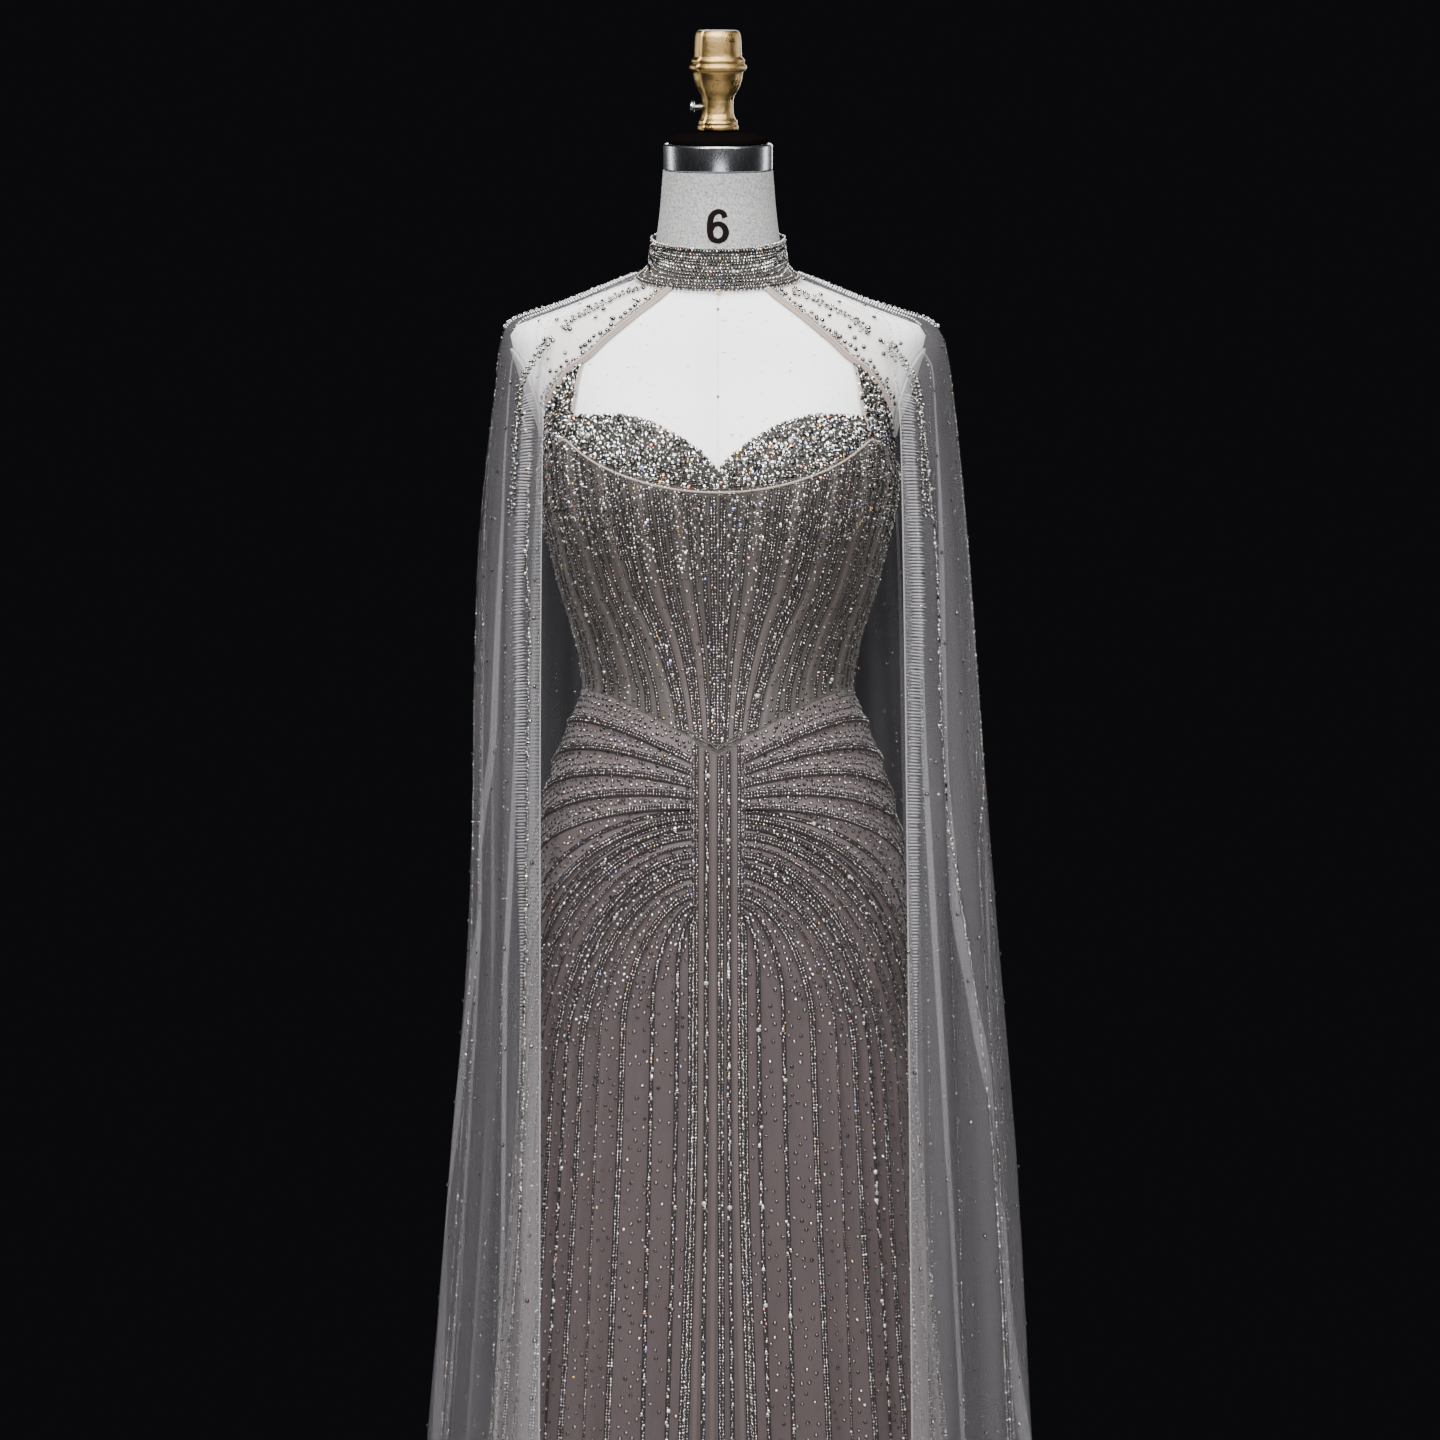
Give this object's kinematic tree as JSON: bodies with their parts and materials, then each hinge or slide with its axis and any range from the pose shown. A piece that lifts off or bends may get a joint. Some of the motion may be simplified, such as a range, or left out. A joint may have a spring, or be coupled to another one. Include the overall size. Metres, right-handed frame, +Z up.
{
  "type": "evening gown on a dress form",
  "caption": "Floor-length beaded halter evening gown with a sheer floor-length cape, worn by a limbless half-body dress form that stands on a pole and a round base",
  "frame": {"origin": "on the floor, at the centre of the round base's underside, under the form's pole", "axes": "+Z up; the gown's front faces -Y; the wearer's left side is +X"},
  "size_m": [0.5904, 0.4737, 1.6425],
  "materials": {
    "beaded_cloth": "satin under beaded net, mauve taupe",
    "net": "soft sheer nylon net, taupe grey",
    "binding": "narrow bias binding",
    "linen": "bleached linen with small flecks",
    "board": "cloth-covered board",
    "neck_metal": "polished",
    "gilt": "gilded, softly hammered",
    "black_iron": "black enamel",
    "crystal": "foiled cut glass",
    "seed_bead": "silver-lined glass seed beads",
    "print": "printed size number",
    "pin_brass": "pin heads"
  },
  "bodies": {
    "root": {"skirt_centre_strip": "beaded_cloth", "skirt_front_left": "beaded_cloth", "skirt_front_right": "beaded_cloth", "skirt_back_left": "beaded_cloth", "skirt_back_right": "beaded_cloth", "bodice_front_left": "beaded_cloth", "bodice_front_right": "beaded_cloth", "bodice_side_front_left": "beaded_cloth", "bodice_side_front_right": "beaded_cloth", "bodice_back_left": "beaded_cloth", "bodice_back_right": "beaded_cloth", "bodice_wing_left": "beaded_cloth", "bodice_wing_right": "beaded_cloth", "cup_left": "beaded_cloth", "cup_right": "beaded_cloth", "collar": "beaded_cloth", "collar_button_1": "beaded_cloth", "collar_button_2": "beaded_cloth", "collar_button_3": "beaded_cloth", "cape_left": "net", "cape_right": "net", "yoke_front_left": "net", "yoke_front_right": "net", "keyhole_binding_left": "binding", "keyhole_binding_right": "binding", "form_torso": "linen", "form_arm_plate_left": "board", "form_arm_plate_right": "board", "form_neck_band": "neck_metal", "form_finial": "gilt", "form_finial_screw": "gilt", "form_neck_cap": "black_iron", "form_pole": "black_iron", "form_base": "black_iron"}
  },
  "joints": []
}
